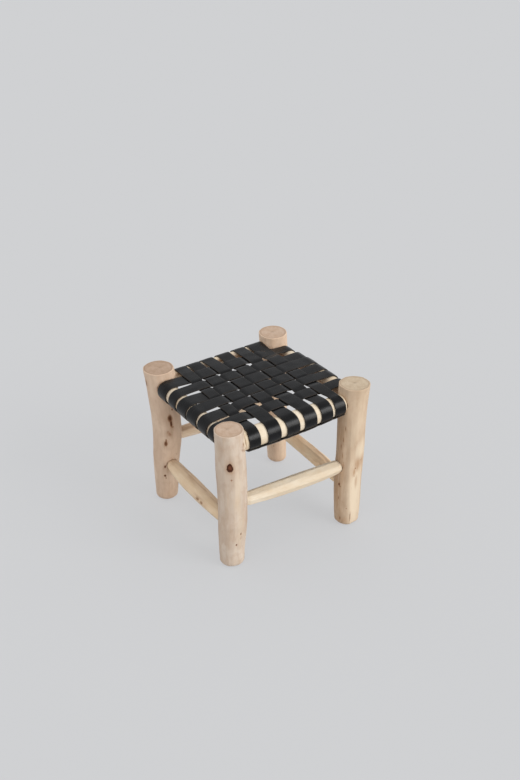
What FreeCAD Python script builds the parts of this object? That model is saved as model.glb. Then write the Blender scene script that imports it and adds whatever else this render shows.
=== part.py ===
import FreeCAD, Part
import math
import os

os.makedirs("parts", exist_ok=True)

# Low stool of four round branch legs, four seat rails, four hewn stretchers and a woven leather seat.
# Millimetres, X to the right, Y to the back, Z up, origin on the floor under the middle of the stool.
leg_spacing = 250.0       # from leg axis to leg axis, across and along
leg_radius = 27.0         # middling radius of a leg, which the legs' shares multiply
leg_rise = 31.0           # from the seat rails' axes up to a leg's sawn top
foot_round = 4.0          # worn rim of a foot
top_round = 1.2           # rim of a leg's sawn top

rail_height = 250.0       # the seat rails' axes over the floor, at the middle of the seat
rail_radius = 16.0        # middling radius of a seat rail, which the rails' shares multiply
rail_shares = {"front": 1.16, "back": 0.94, "left": 0.97, "right": 1.0}  # the rails' tops lie level
seat_lean_right = 1.8     # degrees by which the seat rises to the right
seat_lean_front = 0.4     # degrees by which it rises to the front

front_height = 124.0      # each stretcher's axis over the floor
back_height = 129.5
left_height = 81.5
right_height = 74.0
stretcher_radius = 14.0   # at the thickest place, which the stretchers' shares multiply
stretcher_sides = 8       # faces left by the hewing

tenon_radius = 9.0
tenon_fit = 0.1           # round a tenon in its mortise, and at its end
tenon_wall = 2.0          # wood left between two mortises that meet in a leg
tenon_chamfer = 1.5
shoulder_gap = 1.2        # between a leg and the shoulder of a rail or stretcher
shoulder_length = 3.0     # taper from a rail's body down to its tenon

strap_count = 6           # each way
strap_cover_share = 0.76  # of the pitch that a strap covers
strap_thickness = 2.0
strap_fit = 0.3           # between a strap and its rail, and between straps where they cross
strap_leg_gap = 1.6       # between the outer straps and the legs
strap_flat_margin = 0.5   # flat run of a strap past each edge of the strap that it crosses
strap_lead_share = 0.25   # of the run from the rail to the first crossing, which stays level

binding_thickness = 1.8   # of the strip over the straps' ends
binding_leg_gap = 2.4     # between a binding strip and the legs

tack_head_radius = 3.0
tack_head_height = 1.5
tack_shank_radius = 0.8
tack_shank_length = 12.0
tack_hole_fit = 0.1
tack_head_lift = 0.05     # between a head and the binding under it
tack_spread_share = 0.25  # of the strap's width, from its middle to each tack

# At each rail, in degrees round it from its top, outwards: where the straps end, where the binding strip over
# their ends starts and ends, and where the tacks sit.
strap_wrap = {"front": 228.0, "back": 176.0, "left": 228.0, "right": 228.0}
binding_start = {"front": 138.0, "back": 124.0, "left": 165.0, "right": 165.0}
binding_end = {"front": 222.0, "back": 170.0, "left": 222.0, "right": 222.0}
tack_angle = {"front": 206.0, "back": 148.0, "left": 206.0, "right": 206.0}

# Each leg: which way its corner lies, its rise as a share of leg_rise, and its stations from foot to top.
# A station is a share of the leg's height, then its axis's place and its radius as shares of leg_radius.
leg_rise_shares = {"front_left": 0.87, "front_right": 1.16, "back_left": 0.81, "back_right": 0.97}
leg_sides = {"front_left": (-1, -1), "front_right": (1, -1), "back_left": (-1, 1), "back_right": (1, 1)}
station_shares = (0.0, 0.15, 0.3, 0.5, 0.7, 0.88, 1.0)
leg_shares = {
    "front_left": ((0.06, 0.24, 0.80), (0.06, 0.20, 0.875), (0.09, 0.12, 0.96), (0.09, 0.06, 0.97),
                   (0.02, 0.02, 1.0), (-0.03, -0.02, 0.95), (-0.07, -0.04, 0.92)),
    "front_right": ((-0.24, -0.04, 0.80), (-0.22, -0.03, 0.895), (-0.20, -0.01, 0.925), (-0.08, -0.045, 0.93),
                    (-0.005, -0.02, 0.945), (0.12, 0.045, 0.985), (0.145, -0.05, 1.04)),
    "back_left": ((0.09, 0.11, 0.815), (0.14, 0.115, 0.875), (0.20, 0.115, 0.935), (0.36, 0.07, 1.01),
                  (0.34, 0.13, 1.02), (0.25, 0.24, 1.06), (0.17, 0.32, 1.11)),
    "back_right": ((0.0, -0.11, 0.70), (0.0, -0.07, 0.72), (0.0, -0.05, 0.75), (-0.01, -0.03, 0.81),
                   (-0.02, 0.01, 0.87), (0.0, 0.07, 0.92), (-0.09, 0.16, 0.985)),
}

# The straps' places at the rail where they start and at the one where they end, as shares of the room there.
strap_place_shares = {
    "lengthwise": ((0.0, 0.218, 0.428, 0.638, 0.834, 1.0), (0.0, 0.17, 0.36, 0.56, 0.78, 0.975)),
    "crosswise": ((0.0, 0.197, 0.403, 0.587, 0.798, 1.0), (0.0, 0.218, 0.406, 0.592, 0.757, 1.0)),
}

# Hewn stretchers: each one's thickness, the radius along its length and the radius round its section.
stretcher_shares = {"front": 1.04, "back": 0.92, "left": 1.13, "right": 0.96}
hewn_length_shares = ((0.0, 0.78), (0.12, 0.86), (0.35, 0.98), (0.6, 1.0), (0.85, 0.9), (1.0, 0.76))
hewn_side_shares = (1.0, 0.93, 0.98, 1.03, 0.95, 1.0, 0.92, 1.02)

half_spacing = leg_spacing / 2
rail_depth = rail_radius * (2 * max(rail_shares.values()) - 1)  # from the rails' level to the undersides
strap_level = rail_radius + strap_fit + strap_thickness / 2     # a strap's middle over the rails' level
strap_lifts = (strap_fit, strap_fit + strap_thickness)          # a wrapped strap's faces over its rail
binding_lifts = (strap_lifts[1] + strap_fit, strap_lifts[1] + strap_fit + binding_thickness)
crossing_rise = (strap_thickness + strap_fit) / 2
tenon_stop = tenon_radius + tenon_fit + tenon_wall

x_axis = FreeCAD.Vector(1, 0, 0)
y_axis = FreeCAD.Vector(0, 1, 0)
z_axis = FreeCAD.Vector(0, 0, 1)


def leg_height(leg):
    return rail_height + leg_rise * leg_rise_shares[leg]


def leg_station(leg, height):
    """Centre and radius of a leg at a height over the floor, between its stations."""
    share = min(max(height / leg_height(leg), 0), 1)
    rows = leg_shares[leg]
    for i in range(len(station_shares) - 1):
        low, high = station_shares[i], station_shares[i + 1]
        if share <= high:
            part = (share - low) / (high - low)
            mixed = [a + (b - a) * part for a, b in zip(rows[i], rows[i + 1])]
            break
    side_x, side_y = leg_sides[leg]
    centre = FreeCAD.Vector(side_x * half_spacing + mixed[0] * leg_radius,
                            side_y * half_spacing + mixed[1] * leg_radius, height)
    return centre, mixed[2] * leg_radius


def flat_rim(shape, height):
    """The round edge of a leg's sawn end at a height."""
    flat = [e for e in shape.Edges if e.BoundBox.ZLength < tenon_fit]
    return [min(flat, key=lambda e: abs(e.CenterOfMass.z - height))]


def leg_blank(leg):
    """A branch sawn flat at both ends: a smooth loft through its round stations, with eased rims."""
    rings = []
    for share in station_shares:
        centre, radius = leg_station(leg, share * leg_height(leg))
        rings.append(Part.Wire([Part.Circle(centre, z_axis, radius).toShape()]))
    blank = Part.makeLoft(rings, True, False)
    blank = blank.makeFillet(foot_round, flat_rim(blank, 0))
    return blank.makeFillet(top_round, flat_rim(blank, leg_height(leg)))


def seat_place(shape):
    """Lifts a shape from the seat's own level frame to its height and leans it as the seat leans."""
    lean = FreeCAD.Rotation(y_axis, -seat_lean_right).multiply(FreeCAD.Rotation(x_axis, -seat_lean_front))
    placed = shape.copy()
    placed.Placement = FreeCAD.Placement(FreeCAD.Vector(0, 0, rail_height), lean).multiply(shape.Placement)
    return placed


def turned(points):
    """A solid of revolution round X from (place, radius) points that start and end on the axis."""
    corners = [FreeCAD.Vector(place, 0, radius) for place, radius in points]
    face = Part.Face(Part.makePolygon(corners + corners[:1]))
    return face.revolve(FreeCAD.Vector(0, 0, 0), x_axis, 360)


def corner_height(leg):
    """Height over the floor at which the leaning seat's rail axes meet a leg's axis."""
    side_x, side_y = leg_sides[leg]
    return rail_height + half_spacing * (side_x * math.sin(math.radians(seat_lean_right))
                                         - side_y * math.sin(math.radians(seat_lean_front)))


def inner_face(leg, axis):
    """How far along an axis (0 for X, 1 for Y) a leg reaches inwards, anywhere on a seat rail's height."""
    reaches = []
    for lift in (-rail_depth, 0, rail_radius):
        centre, radius = leg_station(leg, corner_height(leg) + lift)
        reaches.append(centre[axis] - leg_sides[leg][axis] * radius)
    return max(reaches) if leg_sides[leg][axis] < 0 else min(reaches)


def rail_size(side):
    return rail_radius * rail_shares[side]


def rail_drop(side):
    """How far a rail's axis lies over the rails' level, so that all their tops are level."""
    return rail_radius - rail_size(side)


def bar_profile(radius, tip, shoulder, far_shoulder, far_tip):
    """Profile (place, radius) of a round rail with a whittled tenon at each end."""
    return [(tip, 0), (tip, tenon_radius - tenon_chamfer), (tip + tenon_chamfer, tenon_radius),
            (shoulder, tenon_radius), (shoulder, radius - shoulder_length / 2),
            (shoulder + shoulder_length, radius), (far_shoulder - shoulder_length, radius),
            (far_shoulder, radius - shoulder_length / 2), (far_shoulder, tenon_radius),
            (far_tip - tenon_chamfer, tenon_radius), (far_tip, tenon_radius - tenon_chamfer), (far_tip, 0)]


def seat_rail(side):
    """A round rail along X, from leg to leg on one side of the seat, with its middle at the origin."""
    start_leg, end_leg = seat_sides()[side][:2]
    axis = 0 if side in ("front", "back") else 1
    reach = half_spacing - tenon_stop
    return turned(bar_profile(rail_size(side), -reach, inner_face(start_leg, axis) + shoulder_gap,
                              inner_face(end_leg, axis) - shoulder_gap, reach))


def hewn_ring(place, radius):
    """One faceted section of a stretcher, square to X."""
    corners = []
    for k in range(stretcher_sides):
        angle = 2 * math.pi * k / stretcher_sides
        reach = radius * hewn_side_shares[k % len(hewn_side_shares)]
        corners.append(FreeCAD.Vector(place, reach * math.cos(angle), reach * math.sin(angle)))
    return Part.makePolygon(corners + corners[:1])


def leg_reach(leg, height, half_depth, way):
    """How far along a level way from its axis a leg's surface reaches, anywhere on the depth of a bar."""
    middle = leg_station(leg, height)[0]
    reaches = []
    for lift in (-half_depth, 0, half_depth):
        centre, radius = leg_station(leg, height + lift)
        reaches.append(centre.sub(middle).dot(way) + radius)
    return max(reaches)


def stretcher(side, start_leg, end_leg, height, turn):
    """A hewn bar between two legs' axes at one height, with round tenons, and its two tenons' mortises."""
    start, end = leg_station(start_leg, height)[0], leg_station(end_leg, height)[0]
    length = start.distanceToPoint(end)
    way = end.sub(start).normalize()
    body_radius = stretcher_radius * stretcher_shares[side]
    tip, far_tip = tenon_stop, length - tenon_stop
    shoulder = leg_reach(start_leg, height, body_radius, way) + shoulder_gap
    far_shoulder = length - leg_reach(end_leg, height, body_radius, way * -1) - shoulder_gap
    rings = [hewn_ring(shoulder + (far_shoulder - shoulder) * share, body_radius * wide)
             for share, wide in hewn_length_shares]
    body = Part.makeLoft(rings, True, True)
    tenon = turned([(tip, 0), (tip, tenon_radius - tenon_chamfer), (tip + tenon_chamfer, tenon_radius),
                    (far_tip - tenon_chamfer, tenon_radius), (far_tip, tenon_radius - tenon_chamfer),
                    (far_tip, 0)])
    bar = body.fuse(tenon).removeSplitter()
    bar.rotate(FreeCAD.Vector(0, 0, 0), x_axis, turn)
    place = FreeCAD.Placement(start, FreeCAD.Rotation(x_axis, end.sub(start)))
    holes = mortises(length)
    for shape in [bar] + holes:
        shape.Placement = place.multiply(shape.Placement)
    return bar, holes


def mortises(length):
    """The two round mortises of a bar along X, each open outwards past its leg's surface."""
    depth = leg_spacing / 2 - tenon_stop + tenon_fit
    radius = tenon_radius + tenon_fit
    near = Part.makeCylinder(radius, depth, FreeCAD.Vector(tenon_stop - tenon_fit, 0, 0), x_axis)
    far = Part.makeCylinder(radius, depth, FreeCAD.Vector(length - tenon_stop + tenon_fit, 0, 0), x_axis * -1)
    return [near, far]


def seat_sides():
    """The seat's own frame: each side's rail, with the legs at its ends, its turn about Z and its place."""
    return {
        "front": ("front_left", "front_right", 0, FreeCAD.Vector(0, -half_spacing, rail_drop("front"))),
        "back": ("back_left", "back_right", 0, FreeCAD.Vector(0, half_spacing, rail_drop("back"))),
        "left": ("front_left", "back_left", 90, FreeCAD.Vector(-half_spacing, 0, rail_drop("left"))),
        "right": ("front_right", "back_right", 90, FreeCAD.Vector(half_spacing, 0, rail_drop("right"))),
    }


def strap_rails(way):
    """The rails where the straps of one way start and end, with the side (-1 or 1) on which each lies."""
    return {"lengthwise": (("front", -1), ("back", 1)), "crosswise": (("left", -1), ("right", 1))}[way]


def to_side(shape, side):
    """Turns and moves a shape that is drawn along X at the origin to one side of the seat."""
    turn, place = seat_sides()[side][2:]
    moved = shape.copy()
    moved.rotate(FreeCAD.Vector(0, 0, 0), z_axis, turn)
    moved.translate(place)
    return moved


def strap_room(way, end):
    """The room (from, to) that the legs leave for the straps at one end of their way, -1 or 1."""
    axis = 0 if way == "lengthwise" else 1
    legs = [leg for leg in leg_sides if leg_sides[leg][1 - axis] == end]
    low = max(inner_face(leg, axis) for leg in legs if leg_sides[leg][axis] < 0)
    high = min(inner_face(leg, axis) for leg in legs if leg_sides[leg][axis] > 0)
    return low + strap_leg_gap, high - strap_leg_gap


def strap_lines(way):
    """The straps' width, and each one's middle across the seat and slant, which follow the room."""
    rooms = [strap_room(way, end) for end in (-1, 1)]
    width = sum(high - low for low, high in rooms) / 2 / strap_count * strap_cover_share
    starts, ends = [[low + width / 2 + (high - low - width) * share for share in shares]
                    for (low, high), shares in zip(rooms, strap_place_shares[way])]
    return [((start + end) / 2, (end - start) / leg_spacing) for start, end in zip(starts, ends)], width


def crossing_flats(line, width, others, other_width):
    """Where a strap meets each strap of the other way, as (from, to) of the level run over or under it."""
    middle, slant = line
    flats = []
    for other_middle, other_slant in others:
        along = (other_middle + other_slant * middle) / (1 - slant * other_slant)
        reach = other_width / 2 + abs(other_slant) * (width / 2 + abs(slant) * other_width)
        reach += strap_flat_margin
        flats.append((along - reach, along + reach))
    return flats


def strap_line(flats, first_up):
    """Points (along, height) of a strap's middle line from one rail's top to the other's."""
    level = strap_level
    first, last = flats[0][0], flats[-1][1]
    points = [(-half_spacing, level), (-half_spacing + strap_lead_share * (half_spacing + first), level)]
    rise = crossing_rise if first_up else -crossing_rise
    for low, high in flats:
        points += [(low, level + rise), (high, level + rise)]
        rise = -rise
    return points + [(half_spacing - strap_lead_share * (half_spacing - last), level), (half_spacing, level)]


def beside(points, distance):
    """The line at a distance over (or under) a line of points, with mitred corners."""
    directions = []
    for (x0, z0), (x1, z1) in zip(points, points[1:]):
        run = math.hypot(x1 - x0, z1 - z0)
        directions.append(((x1 - x0) / run, (z1 - z0) / run))
    directions = directions[:1] + directions + directions[-1:]
    line = []
    for (x, z), (ax, az), (bx, bz) in zip(points, directions, directions[1:]):
        scale = distance / (1 + ax * bx + az * bz)
        line.append(FreeCAD.Vector(x - scale * (az + bz), 0, z + scale * (ax + bx)))
    return line


def wrap_point(rail, lift, angle):
    """A point over the surface of a rail (name, side), at an angle in degrees from its top, outwards."""
    name, side = rail
    swing = math.radians(angle)
    radius = rail_size(name) + lift
    return FreeCAD.Vector(side * (half_spacing + radius * math.sin(swing)), 0,
                          rail_drop(name) + radius * math.cos(swing))


def wrap_arc(rail, lift, start, end):
    """An arc over the surface of a rail, between two angles from its top, outwards."""
    return Part.Arc(*[wrap_point(rail, lift, angle) for angle in (start, (start + end) / 2, end)]).toShape()


def wrap_end(rail, lifts, angle):
    """The straight cut across a strap or a binding at an angle round its rail."""
    return Part.LineSegment(*[wrap_point(rail, lift, angle) for lift in lifts]).toShape()


def binding(rail, room):
    """The strip tacked along a rail, over the ends of the straps."""
    start, end = binding_start[rail[0]], binding_end[rail[0]]
    edges = [wrap_arc(rail, lift, start, end) for lift in binding_lifts]
    edges += [wrap_end(rail, binding_lifts, angle) for angle in (start, end)]
    low, high = room[0] + binding_leg_gap - strap_leg_gap, room[1] - binding_leg_gap + strap_leg_gap
    strip = Part.Face(Part.Wire(Part.__sortEdges__(edges))).extrude(y_axis * (high - low))
    strip.translate(y_axis * low)
    return strip


def strap_cover(line, width):
    """A slanting slab, taller than the seat is deep, whose plan is a strap's band across the stool."""
    middle, slant = line
    reach = leg_spacing
    corners = [FreeCAD.Vector(along, middle + slant * along + side * width / 2, -reach)
               for along, side in ((-reach, -1), (reach, -1), (reach, 1), (-reach, 1), (-reach, -1))]
    return Part.Face(Part.makePolygon(corners)).extrude(z_axis * (2 * reach))


def strap(way, line, width, flats, first_up):
    """A strap along X, woven between its rails, with its ends wrapped round them, cut to its band."""
    points = strap_line(flats, first_up)
    edges = []
    for lift, half_thickness in zip(strap_lifts, (-strap_thickness / 2, strap_thickness / 2)):
        face_line = beside(points, half_thickness)
        edges += [Part.LineSegment(a, b).toShape() for a, b in zip(face_line, face_line[1:])]
        edges += [wrap_arc(rail, lift, 0, strap_wrap[rail[0]]) for rail in strap_rails(way)]
    edges += [wrap_end(rail, strap_lifts, strap_wrap[rail[0]]) for rail in strap_rails(way)]
    outline = Part.Face(Part.Wire(Part.__sortEdges__(edges)))
    band = outline.extrude(y_axis * leg_spacing)
    band.translate(y_axis * (-leg_spacing / 2))
    return band.common(strap_cover(line, width))


def tack():
    """A round-headed tack that points along -Z, with the underside of its head at the origin."""
    dome = (tack_head_radius ** 2 + tack_head_height ** 2) / (2 * tack_head_height)
    head = Part.makeSphere(dome, FreeCAD.Vector(0, 0, tack_head_height - dome))
    stock = Part.makeCylinder(tack_head_radius, tack_head_height)
    point = Part.makeCone(0, tack_shank_radius, 2 * tack_shank_radius, FreeCAD.Vector(0, 0, -tack_shank_length))
    shank = Part.makeCylinder(tack_shank_radius, tack_shank_length - 2 * tack_shank_radius,
                              FreeCAD.Vector(0, 0, 0), z_axis * -1)
    return head.common(stock).fuse([shank, point]).removeSplitter()


def tack_hole():
    """The hole of a tack's shank, long enough to go through binding and strap into the rail."""
    depth = tack_shank_length + tack_hole_fit
    return Part.makeCylinder(tack_shank_radius + tack_hole_fit, depth + binding_thickness,
                             FreeCAD.Vector(0, 0, binding_thickness), z_axis * -1)


def at_tack(shape, rail, line, across):
    """Sets a tack or its hole on a strap along X, square to its rail's surface."""
    middle, slant = line
    name, side = rail
    place = wrap_point(rail, binding_lifts[1] + tack_head_lift, tack_angle[name])
    place.y = middle + slant * place.x + across
    standing = shape.copy()
    standing.Placement = FreeCAD.Placement(place, FreeCAD.Rotation(y_axis, side * tack_angle[name]))
    return standing


def to_way(shape, way):
    """Turns a shape drawn for a strap along X, where the straps run lengthwise."""
    turned_shape = shape.copy()
    if way == "lengthwise":
        turned_shape = turned_shape.mirror(FreeCAD.Vector(0, 0, 0), FreeCAD.Vector(1, -1, 0))
    return turned_shape


def stool_middle():
    """The middle of the legs' outermost reaches, which stands over the origin."""
    rims = [leg_station(leg, share * leg_height(leg)) for leg in leg_sides for share in station_shares]
    middle = [(min(centre[axis] - radius for centre, radius in rims)
               + max(centre[axis] + radius for centre, radius in rims)) / 2 for axis in (0, 1)]
    return FreeCAD.Vector(middle[0], middle[1], 0)


def save(node, shape):
    placed = shape.copy()
    placed.translate(stool_middle() * -1)
    placed.exportStep("parts/%s.step" % node)


def seat():
    """All pieces of the seat in its own level frame: rails, straps, bindings, and the tacks by side."""
    rails = {}
    holes = {side: [] for side in seat_sides()}
    tacks = {side: [] for side in seat_sides()}
    straps, bindings = {}, {}
    for side in seat_sides():
        rails[side] = to_side(seat_rail(side), side)
    for way, other in (("lengthwise", "crosswise"), ("crosswise", "lengthwise")):
        lines, width = strap_lines(way)
        other_lines, other_width = strap_lines(other)
        for i, line in enumerate(lines):
            first_up = (i % 2 == 1) == (way == "lengthwise")
            flats = crossing_flats(line, width, other_lines, other_width)
            band = to_way(strap(way, line, width, flats, first_up), way)
            for rail in strap_rails(way):
                for across in (-tack_spread_share * width, tack_spread_share * width):
                    hole = to_way(at_tack(tack_hole(), rail, line, across), way)
                    holes[rail[0]].append(hole)
                    tacks[rail[0]].append(to_way(at_tack(tack(), rail, line, across), way))
                    band = band.cut(hole)
            straps["strap_%s_%d" % (way, i + 1)] = band
        for rail in strap_rails(way):
            bindings[rail[0]] = to_way(binding(rail, strap_room(way, rail[1])), way)
    for side in rails:
        rails[side] = rails[side].cut(holes[side])
        bindings[side] = bindings[side].cut(holes[side])
    return rails, straps, bindings, tacks


def main():
    rails, straps, bindings, tacks = seat()
    heights = {"front": front_height, "back": back_height, "left": left_height, "right": right_height}
    cuts = {leg: [] for leg in leg_sides}
    for side, (start, end, _turn, _place) in seat_sides().items():
        near, far = mortises(leg_spacing)
        for leg, hole in ((start, near), (end, far)):
            hole.translate(x_axis * -half_spacing)
            cuts[leg].append(seat_place(to_side(hole, side)))
        turn = 360 / stretcher_sides * len(cuts[start]) / 2
        bar, (near, far) = stretcher(side, start, end, heights[side], turn)
        cuts[start].append(near)
        cuts[end].append(far)
        save("stretcher_%s" % side, bar)
        save("seat_rail_%s" % side, seat_place(rails[side]))
        save("binding_%s" % side, seat_place(bindings[side]))
        save("tacks_%s" % side, Part.makeCompound([seat_place(shape) for shape in tacks[side]]))
    for name, shape in straps.items():
        save(name, seat_place(shape))
    for leg in leg_sides:
        save("leg_%s" % leg, leg_blank(leg).cut(cuts[leg]))


main()
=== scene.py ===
import bpy
import numpy as np
from mathutils import Matrix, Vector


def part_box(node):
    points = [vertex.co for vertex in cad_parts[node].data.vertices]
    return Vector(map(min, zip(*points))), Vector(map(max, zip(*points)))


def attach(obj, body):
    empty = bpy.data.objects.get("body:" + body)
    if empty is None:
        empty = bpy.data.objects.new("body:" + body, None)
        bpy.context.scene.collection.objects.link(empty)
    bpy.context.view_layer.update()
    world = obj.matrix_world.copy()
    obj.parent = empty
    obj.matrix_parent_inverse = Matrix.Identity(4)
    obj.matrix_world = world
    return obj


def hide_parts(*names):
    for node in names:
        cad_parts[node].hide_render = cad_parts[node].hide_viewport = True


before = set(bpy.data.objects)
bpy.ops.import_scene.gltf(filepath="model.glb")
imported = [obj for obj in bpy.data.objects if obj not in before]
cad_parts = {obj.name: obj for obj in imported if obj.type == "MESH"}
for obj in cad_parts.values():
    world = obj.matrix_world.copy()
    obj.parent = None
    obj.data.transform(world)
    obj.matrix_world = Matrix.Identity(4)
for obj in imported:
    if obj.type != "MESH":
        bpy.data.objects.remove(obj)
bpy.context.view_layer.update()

scene = bpy.context.scene
scene.view_settings.view_transform = "Standard"
pi = np.pi

# Sizes that several pieces share, in metres. The legs stand on a square whose middle lies a little off the
# origin.
stool = {
    "spacing": 0.250,
    "middle": (0.0026325, 0.00459),
    "legRadius": 0.027,
    "seatHeight": 0.250,
    "leanRight": 1.8,  # degrees
    "leanFront": 0.4,
    "railRadius": 0.016,
    "strapLevel": 0.0173,  # middle of a strap over a rail's axis
}
half = stool["spacing"] / 2


# Helpers for shapes

# Smooth ripples of about -1 to 1: a sum of sine waves in random directions, each about one size long.
def ripple(places, seed, size, count=9):
    dice = np.random.default_rng(seed)
    ways = dice.normal(size=(count, places.shape[-1]))
    ways *= 2 * pi / (size * dice.uniform(0.7, 1.6, (count, 1)) * np.linalg.norm(ways, axis=1, keepdims=True))
    return np.sin(places @ ways.T + dice.uniform(0, 2 * pi, count)).sum(-1) * 0.75 / np.sqrt(count)


# 0 below low, 1 above high, and an S between them.
def ease(low, high, value):
    share = np.clip((value - low) / (high - low), 0, 1)
    return share * share * (3 - 2 * share)


# Natural cubic spline through known values: the second slopes solve a three-banded system.
def through(known, values, at):
    known, values, at = np.asarray(known, float), np.asarray(values, float), np.asarray(at, float)
    step = np.diff(known)
    bands = np.eye(len(known))
    right = np.zeros((len(known),) + values.shape[1:])
    for i in range(1, len(known) - 1):
        bands[i, i - 1:i + 2] = step[i - 1], 2 * (step[i - 1] + step[i]), step[i]
        right[i] = 6 * ((values[i + 1] - values[i]) / step[i] - (values[i] - values[i - 1]) / step[i - 1])
    bend = np.linalg.solve(bands, right)
    i = np.clip(np.searchsorted(known, at) - 1, 0, len(step) - 1)
    wide = (...,) + (None,) * (values.ndim - 1)
    a, b, h = (known[i + 1] - at)[wide], (at - known[i])[wide], step[i][wide]
    return ((bend[i] * a ** 3 + bend[i + 1] * b ** 3) / (6 * h)
            + (values[i] / h - bend[i] * h / 6) * a + (values[i + 1] / h - bend[i + 1] * h / 6) * b)


# Blender's kind of attribute and its field, for values of so many numbers.
attributeKinds = {1: ("FLOAT", "value"), 3: ("FLOAT_VECTOR", "vector"), 4: ("FLOAT_COLOR", "color")}


# A closed skin over rings of points (rings, points round, xyz). Each end closes on the middle of its last
# ring, and the faces are turned outwards if the volume they enclose comes out negative. Extras become
# attributes.
def skin(name, rings, material, replaced, extras):
    count, around = rings.shape[:2]
    places = np.concatenate([rings.reshape(-1, 3), rings[0].mean(0)[None], rings[-1].mean(0)[None]])
    i, j = np.meshgrid(np.arange(count - 1), np.arange(around), indexing="ij")
    k = (j + 1) % around
    here, ahead = i * around, (i + 1) * around
    quads = np.stack([here + j, here + k, ahead + k, ahead + j], -1).reshape(-1, 4)
    j = np.arange(around)
    k = (j + 1) % around
    last = (count - 1) * around
    fans = np.concatenate([np.stack([k, j, np.full(around, count * around)], -1),
                           np.stack([last + j, last + k, np.full(around, count * around + 1)], -1)])
    tris = np.concatenate([quads[:, [0, 1, 2]], quads[:, [0, 2, 3]], fans])
    a, b, c = (places[tris[:, n]] for n in range(3))
    if np.einsum("ij,ij->i", a, np.cross(b, c)).sum() < 0:
        quads, fans = quads[:, ::-1], fans[:, ::-1]
    mesh = bpy.data.meshes.new(name)
    mesh.from_pydata(places.tolist(), [], quads.tolist() + fans.tolist())
    mesh.shade_smooth()
    for label, values in extras.items():
        flat = values.reshape(count * around, -1)
        flat = np.concatenate([flat, values[0].reshape(around, -1).mean(0)[None],
                               values[-1].reshape(around, -1).mean(0)[None]]).astype(np.float32)
        kind, field = attributeKinds[flat.shape[1]]
        mesh.attributes.new(label, kind, "POINT").data.foreach_set(field, flat.ravel())
    piece = bpy.data.objects.new(name, mesh)
    scene.collection.objects.link(piece)
    mesh.materials.append(material)
    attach(piece, "root")
    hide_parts(*replaced)
    return piece


# Fields of soft-edged spots on a round piece, from rows of (place along it and angle of the middle, half
# length, half width, strength), in mm and degrees.
def spots(rows, along, around, radius):
    field = np.zeros(around.shape)
    for middle, degrees, tall, wide, strength in rows:
        across = ((around - np.radians(degrees) + pi) % (2 * pi) - pi) * radius * 1000
        d = ((along * 1000 - middle) / tall) ** 2 + (across / wide) ** 2
        np.maximum(field, strength * np.exp(-d ** 1.5), out=field)
    return field


# From the seat's own level frame to the stool: lean to the right and to the front, then shift into place.
def seatPlace(places):
    right, front = np.radians(stool["leanRight"]), np.radians(stool["leanFront"])
    aboutX = np.array([[1, 0, 0], [0, np.cos(front), np.sin(front)], [0, -np.sin(front), np.cos(front)]])
    aboutY = np.array([[np.cos(right), 0, -np.sin(right)], [0, 1, 0], [np.sin(right), 0, np.cos(right)]])
    shift = np.array([-stool["middle"][0], -stool["middle"][1], stool["seatHeight"]])
    return places @ (aboutY @ aboutX).T + shift


# Helpers for materials

# A new node, with its named inputs filled with values or wired to other nodes' outputs.
def addNode(tree, kind, inputs=None, **settings):
    made = tree.nodes.new("ShaderNode" + kind)
    for key, value in settings.items():
        setattr(made, key, value)
    for key, value in (inputs or {}).items():
        socket = made.inputs[key]
        if isinstance(value, bpy.types.NodeSocket):
            tree.links.new(value, socket)
        else:
            socket.default_value = value
    return made


def newMaterial(name):
    material = bpy.data.materials.new(name)
    material.use_nodes = True
    tree = material.node_tree
    tree.nodes.clear()
    shader = addNode(tree, "BsdfPrincipled")
    addNode(tree, "OutputMaterial", {"Surface": shader.outputs[0]})
    return material, tree, shader


# Colours are written as 0 to 255 screen values and turned to linear light. In a table they stand as plain
# threes, which linearLook turns.
def colour(red, green, blue):
    share = np.array([red, green, blue]) / 255
    linear = np.where(share <= 0.04045, share / 12.92, ((share + 0.055) / 1.055) ** 2.4)
    return tuple(float(v) for v in linear) + (1.0,)


def linearLook(look):
    return {key: colour(*value) if isinstance(value, tuple) else value for key, value in look.items()}


def blendColours(tree, share, first, second, way="MIX"):
    mix = addNode(tree, "Mix", {0: share, 6: first, 7: second}, data_type="RGBA", blend_type=way)
    return mix.outputs[2]


# Colours over a value, given as (place, colour) stops.
def ramp(tree, value, stops):
    made = addNode(tree, "ValToRGB", {0: value})
    bands = made.color_ramp.elements
    bands[0].position, bands[1].position = stops[0][0], stops[-1][0]
    bands[0].color, bands[1].color = stops[0][1], stops[-1][1]
    for place, shade in stops[1:-1]:
        bands.new(place).color = shade
    return made.outputs[0]


def calculate(tree, way, first, second=0.0):
    return addNode(tree, "Math", {0: first, 1: second}, operation=way).outputs[0]


def spread(tree, value, low, high, least=0.0, most=1.0):
    ranged = addNode(tree, "MapRange", {0: value, 1: low, 2: high, 3: least, 4: most})
    return ranged.outputs[0]


# Lays a colour over another where a value runs from low to high, up to a strength.
def layer(tree, under, value, low, high, strength, shade):
    return blendColours(tree, spread(tree, value, low, high, 0.0, strength), under, shade)


def noise(tree, vector, size, stretch=(1, 1, 1), detail=2.0, rough=0.5, twist=0.0):
    scaled = addNode(tree, "Mapping", {"Vector": vector, "Scale": tuple(1 / (size * s) for s in stretch)})
    made = addNode(tree, "TexNoise", {"Vector": scaled.outputs[0], "Scale": 1.0, "Detail": detail,
                                      "Roughness": rough, "Distortion": twist})
    return made.outputs["Fac"]


def attribute(tree, name, output):
    return addNode(tree, "Attribute", attribute_name=name).outputs[output]


def bumps(tree, shader, layers):
    normal = None
    for height, depth in layers:
        inputs = {"Height": height, "Distance": depth, "Strength": 1.0}
        if normal is not None:
            inputs["Normal"] = normal
        normal = addNode(tree, "Bump", inputs).outputs[0]
    tree.links.new(normal, shader.inputs["Normal"])


# Wood

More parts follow.
